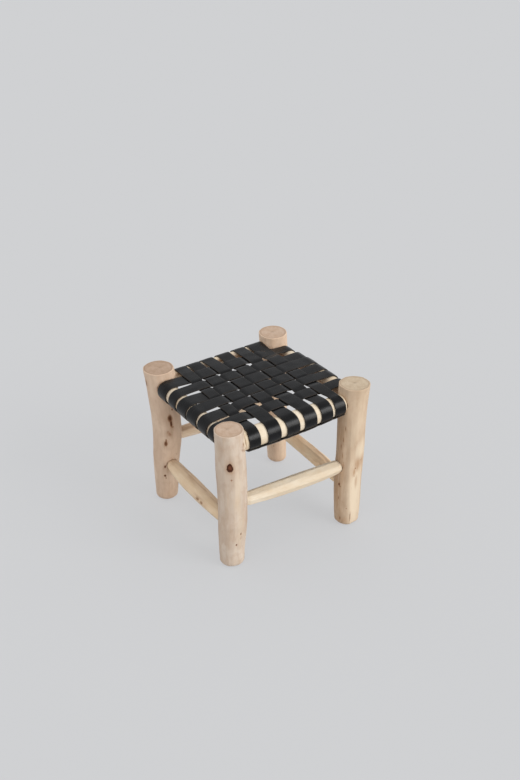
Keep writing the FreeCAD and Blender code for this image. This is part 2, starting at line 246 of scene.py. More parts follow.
# Peeled branch wood. Its pattern follows the "grain" attribute, a place measured from the piece's own bent
# axis with Z along the fibres, and pushed aside round the knots. "marks" holds the distance from a knot,
# specks, stains and freshly cut wood, and "sawn" is 0.5 in the middle of a sawn end and 1 at its rim. On the
# rails the stain channel holds painted shade, laid in the same dark brown as the stains.
def makeWood(name, look):
    look = linearLook(look)
    material, tree, shader = newMaterial(name)
    grain = attribute(tree, "grain", "Vector")
    marks = addNode(tree, "Attribute", attribute_name="marks")
    knot, speck, stainAndShade = addNode(tree, "SeparateColor", {0: marks.outputs["Color"]}).outputs
    sawn = attribute(tree, "sawn", "Fac")
    clouds = noise(tree, grain, look["cloudSize"], (1, 1, 2.0), 3.0, 0.55)
    blotches = noise(tree, grain, look["blotchSize"], (1, 1, 1.8), 3.0, 0.6, 0.4)
    streaks = noise(tree, grain, look["streakSize"], (1, 1, 12), 3.0, 0.6, 0.25)
    fibres = noise(tree, grain, look["fibreSize"], (1, 1, 22), 2.0, 0.6)
    flecks = noise(tree, grain, look["fleckSize"], (1, 1, 2.6), 3.0, 0.65)
    side = blendColours(tree, spread(tree, clouds, 0.28, 0.72), look["deep"], look["pale"])
    side = layer(tree, side, blotches, 0.48, 0.74, look["blotch"], look["blotchColour"])
    side = layer(tree, side, streaks, 0.52, 0.78, look["streak"], look["streakColour"])
    side = layer(tree, side, fibres, 0.45, 0.85, look["fibre"], look["streakColour"])
    cut = calculate(tree, "ADD", marks.outputs["Alpha"], spread(tree, streaks, 0.25, 0.75, -0.3, 0.3))
    side = layer(tree, side, cut, 0.05, 0.95, 0.85, look["raw"])
    side = layer(tree, side, flecks, 0.68, 0.80, look["fleck"], look["barkAndShade"])
    # Stains darken the wood towards bark brown; on the rails this same channel paints shade.
    stainedAndShaded = calculate(tree, "MULTIPLY", stainAndShade, spread(tree, streaks, 0.32, 0.62, 0.25, 1.0))
    side = blendColours(tree, stainedAndShaded, side, look["barkAndShade"])
    ragged = calculate(tree, "ADD", knot, spread(tree, flecks, 0.2, 0.8, -0.075, 0.075))
    ring = ramp(tree, ragged, ((0.0, look["knotPale"]), (0.05, look["knotHeart"]), (0.14, look["knotHeart"]),
                               (0.20, look["knotDark"]), (0.31, look["knotDark"]), (0.37, look["knotRing"])))
    strengths = ((0.0, 1.0), (0.31, 1.0), (0.37, 0.4), (0.64, 0.0))
    cover = ramp(tree, ragged, [(place, (strength,) * 3 + (1,)) for place, strength in strengths])
    side = blendColours(tree, cover, side, ring)
    pocked = calculate(tree, "ADD", speck, spread(tree, flecks, 0.2, 0.8, -0.22, 0.22))
    side = layer(tree, side, pocked, 0.18, 0.48, 0.8, look["speckRim"])
    side = layer(tree, side, pocked, 0.38, 0.85, 0.9, look["knotDark"])

    # Sawn ends: faint wavering rings round the heart, fine saw marks, a smudge at the heart and a dark rim.
    flat = addNode(tree, "SeparateXYZ", {0: grain})
    level = addNode(tree, "CombineXYZ", {0: flat.outputs[0], 1: flat.outputs[1]}).outputs[0]
    reach = addNode(tree, "VectorMath", {0: level}, operation="LENGTH").outputs["Value"]
    wander = noise(tree, level, look["wanderSize"], detail=3.0)
    wavering = calculate(tree, "ADD", reach, calculate(tree, "MULTIPLY", wander, look["wander"]))
    rings = calculate(tree, "SINE", calculate(tree, "MULTIPLY", wavering, 2 * pi / look["ringWidth"]))
    cloudy = noise(tree, level, look["endSize"], detail=4.0, rough=0.6)
    end = blendColours(tree, spread(tree, cloudy, 0.35, 0.65), look["endDeep"], look["endPale"])
    end = layer(tree, end, rings, 0.0, 1.0, look["endRings"], look["endRing"])
    sawMarks = noise(tree, level, look["sawSize"], (1, 9, 1), 2.0)
    end = layer(tree, end, sawMarks, 0.5, 0.8, look["saw"], look["endRing"])
    heart = calculate(tree, "ADD", spread(tree, reach, 0.0, look["heartSize"], 0.6, 0.0),
                      spread(tree, flecks, 0.2, 0.8, -0.3, 0.3))
    end = layer(tree, end, heart, 0.15, 0.7, look["heart"], look["knotDark"])
    rim = calculate(tree, "ADD", spread(tree, sawn, 0.90, 0.985, 0.0, 0.8),
                    spread(tree, cloudy, 0.3, 0.7, -0.5, 0.2))
    end = layer(tree, end, rim, 0.1, 0.8, look["rim"], look["endRim"])
    tree.links.new(blendColours(tree, spread(tree, sawn, 0.1, 0.3), side, end), shader.inputs["Base Color"])
    rough = spread(tree, streaks, 0.3, 0.7, look["rough"] - 0.08, look["rough"] + 0.08)
    tree.links.new(rough, shader.inputs["Roughness"])
    shader.inputs["Specular IOR Level"].default_value = look["shine"]
    bumps(tree, shader, [(streaks, look["streakBump"]), (fibres, look["fibreBump"]),
                         (flecks, look["fleckBump"])])
    return material


# Sizes, the rings' width and wander and the depths of bumps are in metres. The other numbers are strengths,
# up to 1.
branchWood = {
    "deep": (197, 175, 155), "pale": (223, 208, 192), "blotch": 0.40, "blotchColour": (190, 158, 132),
    "streak": 0.36, "streakColour": (172, 138, 108), "fibre": 0.18, "raw": (236, 218, 192), "fleck": 0.12,
    "barkAndShade": (146, 102, 68), "speckRim": (150, 100, 64), "knotDark": (74, 40, 24), "knotHeart": (106, 62, 42),
    "knotPale": (140, 96, 70), "knotRing": (176, 136, 104), "endDeep": (189, 161, 138),
    "endPale": (205, 182, 162), "endRing": (164, 132, 106), "endRings": 0.13, "ringWidth": 0.0031,
    "wander": 0.009, "wanderSize": 0.010, "endSize": 0.012, "saw": 0.22, "sawSize": 0.0013, "heart": 0.34,
    "heartSize": 0.006, "endRim": (140, 106, 82), "rim": 0.55, "rough": 0.6, "shine": 0.15,
    "cloudSize": 0.026, "blotchSize": 0.0085, "streakSize": 0.0046, "fibreSize": 0.0011,
    "fleckSize": 0.0026, "streakBump": 0.0003, "fibreBump": 0.00016, "fleckBump": 0.00014,
}
creamWood = dict(branchWood, deep=(228, 209, 180), pale=(244, 232, 212), blotch=0.3,
                 blotchColour=(222, 194, 156), streakColour=(204, 174, 134), streak=0.34, fibre=0.22,
                 fleck=0.06, barkAndShade=(140, 92, 56), rough=0.5)
print("wood looks ready")

# Legs

# Each leg: the way its corner lies, its height, the degrees that its top rises to the right and to the back,
# where its heart lies off the axis, and its shape at each station from foot to top: the axis's place and the
# radius, as shares of the leg radius. The stations are shares of the height. A knot is (height and angle of
# its middle, half height and half width, in mm and degrees, how dark, how much narrower upwards). Specks,
# stains and cut places are (height, angle, half height, half width, strength), and a torn place has its
# relief in mm instead of the strength. A flat is (the angle it faces, its depth as a share of the radius, the
# heights where it starts and ends, in m, how many degrees it turns from foot to top).
legStations = (0.0, 0.15, 0.3, 0.5, 0.7, 0.88, 1.0)
legs = {
    "front_left": {
        "corner": (-1, -1), "height": 0.2771, "seed": 3, "topTilt": (2, 2.2), "heart": (-0.001, 0.002),
        "shape": (
            (0.06, 0.24, 0.79), (0.06, 0.2, 0.865), (0.1, 0.12, 0.945), (0.12, 0.06, 0.945),
            (0.06, 0.02, 0.965), (-0.01, -0.02, 0.93), (-0.07, -0.04, 0.92),
        ),
        "knots": ((215.5, -123.5, 8.6, 5.6, 0.95, 0.24), (120, 60, 6, 5, 0.8, 0.2)),
        "specks": (
            (190, -120, 2.6, 1.2, 0.62), (190.5, -119, 1.1, 2.9, 0.55), (74, -85, 3, 1.2, 0.75),
            (66, -84, 5, 0.8, 0.45), (51.4, -101.7, 1.9, 1.7, 0.9), (44, -72, 2.6, 1, 0.5),
            (160, 20, 5, 1, 0.5),
        ),
        "stains": (
            (228, -124, 8, 6, 0.26), (251.5, -55, 4, 2, 1), (242.5, -64, 2.8, 2.2, 0.95),
            (244.5, -70, 2.4, 1.5, 0.7), (240, -54, 3, 2, 0.8), (247, -60, 10, 6, 0.3),
            # The long stain at -205 degrees, down the left edge, is partly tan wood and partly painted shade
            # on the side away from the key.
            (120, -60, 40, 8, 0.16), (150, -205, 120, 12, 0.4), (84, -122, 5, 14, 0.14),
        ),
        "cuts": ((248, -46, 15, 5.5, 1), (170, -100, 60, 10, 0.35), (70, -95, 50, 12, 0.3)),
        "torn": ((253, -42, 8, 3.5, 1.6), (243, -44, 6, 4.5, 2), (248, -58, 4, 2, 0.8)),
        "flats": ((-96, 0.03, 0, 0.24, 10),),
    },
    "front_right": {
        "corner": (1, -1), "height": 0.28596, "seed": 5, "topTilt": (-0.8, 0.5), "heart": (0.001, 0.001),
        "shape": (
            (-0.24, -0.04, 0.8), (-0.22, -0.03, 0.895), (-0.2, -0.01, 0.925), (-0.08, -0.045, 0.93),
            (-0.005, -0.02, 0.945), (0.12, 0.045, 0.985), (0.145, -0.05, 1.02),
        ),
        "knots": ((150, 20, 8, 6, 0.9, 0.2), (60, 100, 6, 5, 0.8, 0.2)),
        "specks": (
            (90, -164, 3.4, 1.9, 1), (86, -158, 2, 1.2, 0.7), (168, -167.6, 7, 1.3, 0.55),
            (152, -160, 9, 1.2, 0.42), (132, -152, 8, 1.1, 0.42), (124, -96, 2, 1.4, 0.6),
            (140, -72, 2.4, 1.2, 0.55), (22.5, -110, 11, 0.8, 0.85), (184, -158, 6, 1.1, 0.6),
            (206, -150, 7, 0.9, 0.5), (118, -172, 6, 1.2, 0.6), (60, -166, 6, 1, 0.5),
            (16, -158, 5, 1.4, 0.6), (108, -98, 1.6, 0.9, 0.55), (262, -48, 5, 1, 0.5),
            (40, -128, 1.6, 1.2, 0.5),
        ),
        "stains": (
            (131, -88, 14, 6.5, 0.8), (117, -102, 9, 5, 0.7), (139, -66, 12, 5.5, 0.65),
            # The long stain at -172 degrees darkens the left third: partly brown streaks, partly painted
            # shade on the side away from the key.
            (96, -86, 14, 3, 0.45), (120, -172, 130, 15, 0.5), (100, -150, 40, 6, 0.3),
            (14, -150, 10, 12, 0.3), (196, -148, 20, 5, 0.25),
        ),
        "cuts": ((70, -88, 78, 14, 1), (160, -80, 26, 13, 0.75), (215, -100, 60, 14, 0.35)),
        "torn": (),
        "flats": ((-92, 0.085, -0.03, 0.165, -34), (-142, 0.03, 0.02, 0.2, 0)),
    },
    "back_left": {
        "corner": (-1, 1), "height": 0.27511, "seed": 8, "topTilt": (0.6, 0.7), "heart": (0.003, -0.001),
        "shape": (
            (0.09, 0.11, 0.765), (0.145, 0.115, 0.845), (0.215, 0.115, 0.91), (0.37, 0.07, 0.985),
            (0.345, 0.13, 1.005), (0.255, 0.24, 1.06), (0.11, 0.31, 1.035),
        ),
        "knots": (),
        "specks": (
            (182, -100.5, 8.5, 4.4, 0.85), (181, -99, 4, 2.4, 1.1), (171, -97.5, 8, 2.4, 0.9),
            (163.5, -93.5, 2, 2.6, 0.55), (149, -108, 6, 4.4, 0.38), (154, -114, 4, 3, 0.34),
            (129.5, -123.6, 6, 3.4, 0.8), (136, -122, 5, 2, 0.5), (78.3, -124, 3.4, 1.7, 1),
            (57.8, -125.2, 2.6, 2.2, 1), (53, -121, 3, 1.2, 0.55), (200, -87.7, 2.4, 1.6, 0.8),
            (204, -84, 2, 1, 0.5), (250, 175.4, 6.5, 2, 0.8), (100, -70, 3, 1, 0.5),
        ),
        "stains": (
            (252, 175.4, 8, 7, 0.55), (174, -100, 22, 8, 0.42), (150, -109, 12, 8, 0.42),
            (128, -123, 12, 6, 0.42), (72, -116, 14, 8, 0.3), (200, -85, 30, 9, 0.25),
            (30, -110, 30, 30, 0.12), (225, -110, 12, 7, 0.3),
        ),
        "cuts": ((243, -60, 12, 18, 0.55),),
        "torn": (),
        "flats": ((-70, 0.02, 0, 0.15, 0),),
    },
    "back_right": {
        "corner": (1, 1), "height": 0.2832, "seed": 11, "topTilt": (1.25, 2), "heart": (0, 0.001),
        "shape": (
            (0, -0.11, 0.7), (0, -0.07, 0.72), (0, -0.05, 0.75), (-0.01, -0.03, 0.81), (-0.03, 0.02, 0.895),
            (-0.07, 0.1, 0.99), (-0.09, 0.16, 0.985),
        ),
        "knots": ((140, 40, 7, 5, 0.9, 0.2),),
        "specks": ((40, -140, 3, 1, 0.4), (30, 80, 4, 1, 0.5)),
        "stains": ((30, -110, 30, 10, 0.15),),
        "cuts": ((50, -90, 40, 8, 0.4),),
        "torn": (),
        "flats": (),
    },
}


# Axis place and radius of a leg at heights over the floor.
def legAxis(leg, heights):
    rows = through(legStations, leg["shape"], np.clip(heights / leg["height"], 0, 1))
    radius = stool["legRadius"]
    x = leg["corner"][0] * half + rows[..., 0] * radius - stool["middle"][0]
    y = leg["corner"][1] * half + rows[..., 1] * radius - stool["middle"][1]
    return x, y, rows[..., 2] * radius


# Bars that enter the legs: start leg, end leg, height over the floor at each end.
bars = {
    "front": ("front_left", "front_right", 0.1240), "back": ("back_left", "back_right", 0.1295),
    "left": ("front_left", "back_left", 0.0815), "right": ("front_right", "back_right", 0.0770),
}


def barEnds(side):
    start, end, height = bars[side]
    return [np.array([*legAxis(legs[leg], np.array(height))[:2], height]) for leg in (start, end)]


# Seat rails: radius at shares of the way along, from the left or from the front.
rails = {
    "front": ((0.0, 0.0175), (0.35, 0.0190), (0.65, 0.0186), (0.85, 0.0174), (1.0, 0.0168)),
    "back": ((0.0, 0.0148), (0.35, 0.0150), (0.65, 0.0150), (0.85, 0.0149), (1.0, 0.0146)),
    "left": ((0.0, 0.0142), (0.25, 0.0150), (0.5, 0.0155), (0.75, 0.0158), (1.0, 0.0158)),
    "right": ((0.0, 0.0160), (0.35, 0.0160), (0.60, 0.0156), (0.80, 0.0140), (1.0, 0.0124)),
}
# How far a rail's top sinks under the others' level, between these shares of the way from its middle to its
# far end.
railSink = {"front": 0.0, "back": 0.0, "left": 0.0, "right": 0.0062, "from": 0.05, "to": 0.68}


def railRadius(side, place):
    stations, radii = np.array(rails[side]).T
    return through(stations, radii, np.clip((np.asarray(place, float) + half) / (2 * half), 0, 1))


# Height of a rail's axis over the rails' level.
def railAxis(side, place):
    sink = railSink[side] * ease(railSink["from"] * half, railSink["to"] * half, np.asarray(place, float))
    return stool["railRadius"] - railRadius(side, place) - sink


# Points on a rail's axis in the seat's own frame.
def railPlace(side, place):
    place = np.asarray(place, float)
    edge = np.full(place.shape, half if side in ("back", "right") else -half)
    x, y = (place, edge) if side in ("front", "back") else (edge, place)
    return np.stack([x, y, railAxis(side, place)], -1)


def railEnds(side):
    return seatPlace(railPlace(side, np.array([-half, half])))


# "aside" and "uneven" are how far a facet may turn from its even place, in radians, and stand out, as a share
# of the radius. A rail's hole is a share of the rail's radius.
legRelief = {
    "rows": 230, "columns": 180, "soleRows": 4, "topRows": 14, "footRound": 0.0085, "topRound": 0.0012,
    "sides": 12, "sharp": 46, "aside": 0.14, "sway": 0.9, "uneven": 0.018, "facet": 0.30, "wave": 0.00035,
    "dent": 0.00016, "knotRise": 0.0007, "knotDip": 0.0006, "speckDip": 0.0004, "holeDepth": 0.0045,
    "stretcherHole": 0.0104, "railHole": 0.80, "holeRagged": 0.0004, "holeStain": 0.0018,
}


# A leg: the profile goes from the middle of the foot over its worn rim, up the side and over the sawn rim to
# the middle of the top. At each height the radius is the station radius, mixed with a softened many-sided
# section, plus ripples, swollen knots and a hole where each bar enters.
def makeLeg(name, leg, material):
    relief, height = legRelief, leg["height"]
    foot, top = relief["footRound"], relief["topRound"]
    rows, soleRows, topRows = relief["rows"], relief["soleRows"], relief["topRows"]
    turn = np.linspace(0, pi / 2, 7)
    lift = np.concatenate([np.zeros(soleRows), foot * (1 - np.cos(turn)),
                           np.linspace(foot, height - top, rows)[1:-1],
                           height - top * (1 - np.sin(turn[::2])), np.full(topRows, height)])
    inset = np.concatenate([np.full(soleRows, foot), foot * (1 - np.sin(turn)), np.zeros(rows - 2),
                            top * (1 - np.cos(turn[::2])), np.full(topRows, top)])
    share = np.ones(len(lift))
    share[:soleRows] = 0.2, 0.45, 0.7, 0.9
    share[-topRows:] = np.linspace(0.97, 0.06, topRows)
    angle = np.linspace(0, 2 * pi, relief["columns"], endpoint=False)
    cx, cy, radius = (v[:, None] for v in legAxis(leg, lift))
    lift, inset, share = lift[:, None], inset[:, None], share[:, None]
    dice = np.random.default_rng(leg["seed"])
    count, sharp = relief["sides"], relief["sharp"]
    faces = np.arange(count) * 2 * pi / count + dice.uniform(-relief["aside"], relief["aside"], count)
    levels = lift[..., None]
    sway = levels * dice.uniform(-relief["sway"], relief["sway"], count)
    sway = sway + 0.05 * np.sin(levels * dice.uniform(20, 45, count))
    reach = 1 + dice.uniform(-relief["uneven"], relief["uneven"], count)
    reach = reach + 0.010 * np.sin(levels * dice.uniform(15, 40, count) + faces)
    facing = np.clip(np.cos(angle[None, :, None] - faces - sway), 0, 1)
    section = ((facing / reach) ** sharp).sum(-1) ** (-1 / sharp)
    section = 1 + relief["facet"] * (section - 1.012)
    away = np.stack([np.cos(angle), np.sin(angle)], -1)
    around = np.broadcast_to(angle, (len(lift), len(angle)))
    rough = np.stack([radius * np.cos(around), radius * np.sin(around),
                      np.broadcast_to(lift, around.shape) * 0.5], -1)
    swell = relief["wave"] * ripple(rough, leg["seed"], 0.030)
    swell = swell + relief["dent"] * ripple(rough, leg["seed"] + 1, 0.009)
    knotField = np.full(around.shape, 9.0)
    push = np.zeros(around.shape)
    for facing, depth, low, high, turns in leg["flats"]:
        slope = np.cos(around - np.radians(facing + turns * (lift / height - 0.3)))
        plane = np.where(slope > 0.3, (1 - depth) / np.maximum(slope, 0.3), 9.0)
        plane = plane + 0.0012 * ripple(rough, leg["seed"] + 4, 0.02)
        within = ease(low - 0.012, low + 0.012, lift) * (1 - ease(high - 0.02, high + 0.02, lift))
        section = section + within * (np.minimum(section, plane) - section)
    for z, degrees, tall, wide, dark, taper in leg["knots"]:
        across = ((around - np.radians(degrees) + pi) % (2 * pi) - pi) * radius
        along = lift - z / 1000
        narrow = np.clip(1 - taper * along * 1000 / tall, 0.4, 1.5)
        d = np.sqrt((along * 1000 / tall) ** 2 + (across * 1000 / (wide * narrow)) ** 2)
        swell = swell + dark * (relief["knotRise"] * np.exp(-(d / 1.3) ** 2)
                                - relief["knotDip"] * np.exp(-(d / 0.45) ** 2))
        knotField = np.minimum(knotField, d + (1 - dark) * 0.9)
        push = push - across * 0.75 * np.exp(-(d / 1.5) ** 2)
    speck, stainAndShade, cuts, torn = (spots(leg[kind], lift, around, radius)
                                for kind in ("specks", "stains", "cuts", "torn"))
    swell = swell + torn * 0.001 * (0.75 + 0.6 * ripple(rough, leg["seed"] + 5, 0.005))
    swell = swell - speck * relief["speckDip"]
    side = (radius * section + swell - inset) * share
    x, y = cx + side * away[:, 0], cy + side * away[:, 1]
    tiltX, tiltY = (np.radians(v) for v in leg["topTilt"])
    lean = tiltX * side * away[:, 0] + tiltY * side * away[:, 1] - np.hypot(tiltX, tiltY) * radius * 1.05
    z = lift + lean * ease(height - 0.02, height, lift)
    rings = np.stack([x, y, z], -1)

    # Bar holes: points nearer to a bar's axis than its hole's radius are pushed back into the leg.
    holes = [(bar, barEnds(bar), (relief["stretcherHole"],) * 2) for bar in bars]
    holes += [(bar, railEnds(bar), railRadius(bar, (-half, half)) * relief["railHole"]) for bar in bars]
    for bar, ends, radii in holes:
        if name not in bars[bar][:2]:
            continue
        hole = radii[bars[bar].index(name)]
        here, there = ends if bars[bar][0] == name else ends[::-1]
        way = (there - here) / np.linalg.norm(there - here)
        offset = rings - here
        along = offset @ way
        off = np.linalg.norm(offset - along[..., None] * way, axis=-1)
        ragged = hole + relief["holeRagged"] * ripple(rings, leg["seed"] + 7, 0.006)
        mask = (1 - ease(-0.0004, 0.0006, off - ragged)) * (along > 0)
        rings = rings - (mask * relief["holeDepth"])[..., None] * way
        if hole == relief["stretcherHole"]:
            near = np.exp(-((off - ragged) / relief["holeStain"]) ** 2) * (along > 0) * 0.5
            stainAndShade = np.maximum(stainAndShade, near * (0.6 + 0.4 * ripple(rings, leg["seed"] + 9, 0.007)))
    grainX = side * away[:, 0] - push * away[:, 1]
    grainY = side * away[:, 1] + push * away[:, 0]
    grain = np.stack([grainX + leg["seed"] * 0.31, grainY, np.broadcast_to(lift, side.shape)], -1)
    for ends in (slice(0, soleRows), slice(-topRows, None)):
        grain[ends, :, 0] -= leg["heart"][0] + leg["seed"] * 0.31
        grain[ends, :, 1] -= leg["heart"][1]
    sawn = np.broadcast_to(np.where(share < 1, 0.5 + 0.5 * share, 0.0), side.shape)
    marks = np.stack([np.clip(field, 0, 1) for field in (knotField / 3, speck, stainAndShade, cuts)], -1)
    return skin("leg." + name, rings, material, ["leg_" + name],
                {"grain": grain, "marks": marks, "sawn": sawn})


legTones = {
    "front_left": {},
    "front_right": {"deep": (197, 170, 142), "pale": (221, 199, 173), "barkAndShade": (168, 118, 74),
                    "endDeep": (192, 172, 146), "endPale": (210, 193, 169)},
    "back_left": {"deep": (205, 176, 152), "pale": (226, 202, 179), "endDeep": (173, 146, 124),
                  "endPale": (191, 166, 146)},
    "back_right": {"deep": (216, 186, 159), "pale": (233, 209, 186)},
}
for name, leg in legs.items():
    wood = makeWood("branch wood " + name.replace("_", " "), dict(branchWood, **legTones[name]))
    makeLeg(name, leg, wood)
print("legs ready")

# Rails and stretchers

# A stretcher: rings square to the axis between two legs, spaced along it, each a many-sided section whose
# corners are softened. The radius follows a table of shares along the length, and the axis bows sideways and
# up a little. Specks and stains are rows as on the legs, with the place along the bar for the height.
def makeStretcher(side, form, material):
    start, end = barEnds(side)
    length = np.linalg.norm(end - start)
    way = (end - start) / length
    first, last = form["inset"]
    body = np.arange(first, length - last, form["step"])
    place = body[:, None]
    level = np.cross((0, 0, 1), way)
    level /= np.linalg.norm(level)
    upright = np.cross(way, level)
    angle = np.linspace(0, 2 * pi, form["columns"], endpoint=False)
    dice = np.random.default_rng(form["seed"])
    count = form["sides"]
    faces = (np.arange(count) * 2 * pi / count + np.radians(form["turn"])
             + dice.uniform(-form["aside"], form["aside"], count))
    reach = 1 + dice.uniform(-form["uneven"], form["uneven"], count)
    reach = reach + form["uneven"] * 0.6 * np.sin(place[..., None] * dice.uniform(15, 50, count) + faces)
    facing = np.clip(np.cos(angle[None, :, None] - faces - form["twist"] * place[..., None]), 0, 1)
    section = ((facing / reach) ** form["sharp"]).sum(-1) ** (-1 / form["sharp"])
    stations, radii = np.array(form["radius"]).T
    radius = through(stations, radii, (body - first) / (length - first - last))[:, None]
    fade = ease(0, form["shoulder"], body - first) * ease(0, form["shoulder"], length - last - body)
    section = 1 + (section - 1) * fade[:, None]
    neck = form["neck"] / radius
    narrow = neck + (1 - neck) * np.sqrt(np.clip(fade, 0, 1))[:, None]
    reachOut = radius * section * narrow
    across, up = np.cos(angle) * reachOut, np.sin(angle) * reachOut
    rough = np.stack([across, up, np.broadcast_to(place * 0.35, up.shape)], -1)
    ripples = ripple(rough, form["seed"], 0.012) + 0.5 * ripple(rough, form["seed"] + 1, 0.005)
    swell = 1 + form["wave"] * ripples / radius
    across, up = across * swell, up * swell
    bow = np.sin(pi * (body - first) / (length - first - last))[:, None]
    rings = (start + place[..., None] * way + (across + form["bow"][0] * bow)[..., None] * level
             + (up + form["bow"][1] * bow)[..., None] * upright)
    grain = np.stack([across + form["seed"] * 0.37, up, np.broadcast_to(place, up.shape)], -1)
    around = np.broadcast_to(angle, up.shape)
    speck, stainAndShade = (np.clip(spots(form[kind], place, around, radius), 0, 1) for kind in ("specks", "stains"))
    marks = np.stack([np.ones_like(speck), speck, stainAndShade, np.zeros_like(speck)], -1)
    return skin("stretcher." + side, rings, material, ["stretcher_" + side],
                {"grain": grain, "marks": marks, "sawn": np.zeros(up.shape)})


hewn = {"columns": 72, "step": 0.0013, "sides": 8, "sharp": 60, "aside": 0.16, "uneven": 0.045,
        "twist": 0.9, "wave": 0.00022, "shoulder": 0.008, "neck": 0.0098, "bow": (0.0, 0.0), "specks": (),
        "stains": ()}
stretchers = {
    "front": dict(
        hewn, seed=21, turn=14.0, inset=(0.0225, 0.0215), bow=(0.0, -0.0013),
        radius=((0, 0.0108), (0.12, 0.0116), (0.35, 0.0128), (0.6, 0.0132), (0.85, 0.0126), (1, 0.0112))),
    "back": dict(
        hewn, seed=22, turn=30.0, inset=(0.0235, 0.0185),
        radius=((0, 0.0108), (0.12, 0.0116), (0.35, 0.0128), (0.6, 0.0129), (0.85, 0.0116), (1, 0.0105)),
        stains=((34, 100, 26, 10, 0.7), (130, 85, 90, 8, 0.35))),
    "left": dict(
        hewn, seed=23, turn=20.0, inset=(0.0215, 0.0215), bow=(0.0015, -0.0016),
        radius=((0, 0.0122), (0.12, 0.0131), (0.35, 0.0144), (0.6, 0.0146), (0.85, 0.0132), (1, 0.0110)),
        specks=((84, 8, 6.0, 3.2, 0.46), (98, 14, 6.5, 3.4, 0.52), (91, -8, 3.0, 1.6, 0.4)),
        stains=((92, 10, 24, 8, 0.35), (120, 108, 110, 10, 0.50), (225, 100, 22, 14, 0.45))),
    "right": dict(
        hewn, seed=24, turn=-6.0, inset=(0.0205, 0.0165), bow=(-0.0020, 0.0015),
        radius=((0, 0.0112), (0.12, 0.0120), (0.35, 0.0130), (0.6, 0.0132), (0.85, 0.0122), (1, 0.0108)),
        stains=((215, 70, 26, 16, 0.65), (120, 100, 110, 9, 0.50))),
}
stretcherTones = {
    "front": {"deep": (222, 202, 174), "pale": (236, 223, 202)},
    "back": {"deep": (240, 212, 182), "pale": (250, 232, 210)},
    "left": {"deep": (228, 200, 166), "pale": (243, 222, 194)},
    "right": {"deep": (244, 210, 172), "pale": (252, 230, 198)},
}
for side, form in stretchers.items():
    makeStretcher(side, form, makeWood("hewn wood " + side, dict(creamWood, **stretcherTones[side])))

# The last entry is how strongly each rail's inner side is darkened with painted shade.
railForm = {"columns": 72, "step": 0.0013, "inset": 0.0215, "play": 0.0002, "wave": 0.00007,
            "shoulder": 0.0035, "neck": 0.88,
            "innerShade": {"front": 0.3, "back": 0.95, "left": 0.3, "right": 0.85}}


# A seat rail: round rings along the way between two legs, each a little smaller than the straps' inside,
# easing down to the neck that sits in the leg. Ripples make it look like a peeled branch. Its inner side is
# darkened towards brown as painted shade, most on the back and right rails.
def makeRail(side, seed, material):
    form = railForm
    end = half - form["inset"]
    place = np.arange(-end, end, form["step"])
    fade = ease(0, form["shoulder"], place + end) * ease(0, form["shoulder"], end - place)
    narrow = form["neck"] + (1 - form["neck"]) * np.sqrt(fade)
    radius = ((railRadius(side, place) - form["play"]) * narrow)[:, None]
    angle = np.linspace(0, 2 * pi, form["columns"], endpoint=False)
    across, up = radius * np.cos(angle), radius * np.sin(angle)
    rough = np.stack([across, up, np.broadcast_to(place[:, None] * 0.35, up.shape)], -1)
    swell = 1 + form["wave"] * (ripple(rough, seed, 0.012) + ripple(rough, seed + 1, 0.005)) / radius
    level = (0, 1, 0) if side in ("front", "back") else (-1, 0, 0)
    rings = (railPlace(side, place)[:, None, :] + (across * swell)[..., None] * level
             + (up * swell)[..., None] * (0, 0, 1))
    grain = np.stack([across + seed * 0.37, up, np.broadcast_to(place[:, None], up.shape)], -1)
    marks = np.zeros(up.shape + (4,))
    marks[..., 0] = 1
    # Painted shade: a brown darkening over the rail's inner side, under the straps.
    inwards = np.cos(angle) * (-1 if side == "back" else 1)
    marks[..., 2] = form["innerShade"][side] * ease(0.05, 0.75, inwards + 0.12 * ripple(rough, seed + 2, 0.02))
    return skin("rail." + side, seatPlace(rings), material, ["seat_rail_" + side],
                {"grain": grain, "marks": marks, "sawn": np.zeros(up.shape)})


railWood = makeWood("peeled wood", creamWood)
for number, side in enumerate(bars):
    makeRail(side, 31 + number, railWood)
print("bars ready")

# Straps

# "front" is where a strap's course changes from the seat to the first rail's top, and "rail" how far out it
# reaches the face of a rail. "fall" is where it comes down to a thinner rail, as shares of the way there, and
# "legLevel" how high over the seat the legs press on its edges. "wobble" and "cockle" are waves of the edges
# and of the face, as (height, length).
strapLook = {
    "thickness": 0.0019, "lift": 0.0013, "crown": 0.00022, "rise": 0.00115, "soften": 0.0021, "step": 0.0013,
    "flatMargin": 0.0008, "legGap": 0.0006, "legLevel": 0.008, "edgeRound": 0.0008, "front": (0.098, 0.121),
    "rail": 0.146, "fall": (0.45, 0.93), "wobble": ((0.00022, 0.045), (0.00010, 0.012)),
    "cockle": (0.00012, 0.028), "facePoints": 15, "edgePoints": 5,
}
# Degrees round each rail from its top, outwards: where the straps end, and where the binding starts and ends.
wraps = {"front": (228, 132, 222), "back": (176, 124, 170), "left": (228, 165, 222), "right": (228, 165, 222)}
strapEnds = {"lengthwise": ("front", "back"), "crosswise": ("left", "right")}
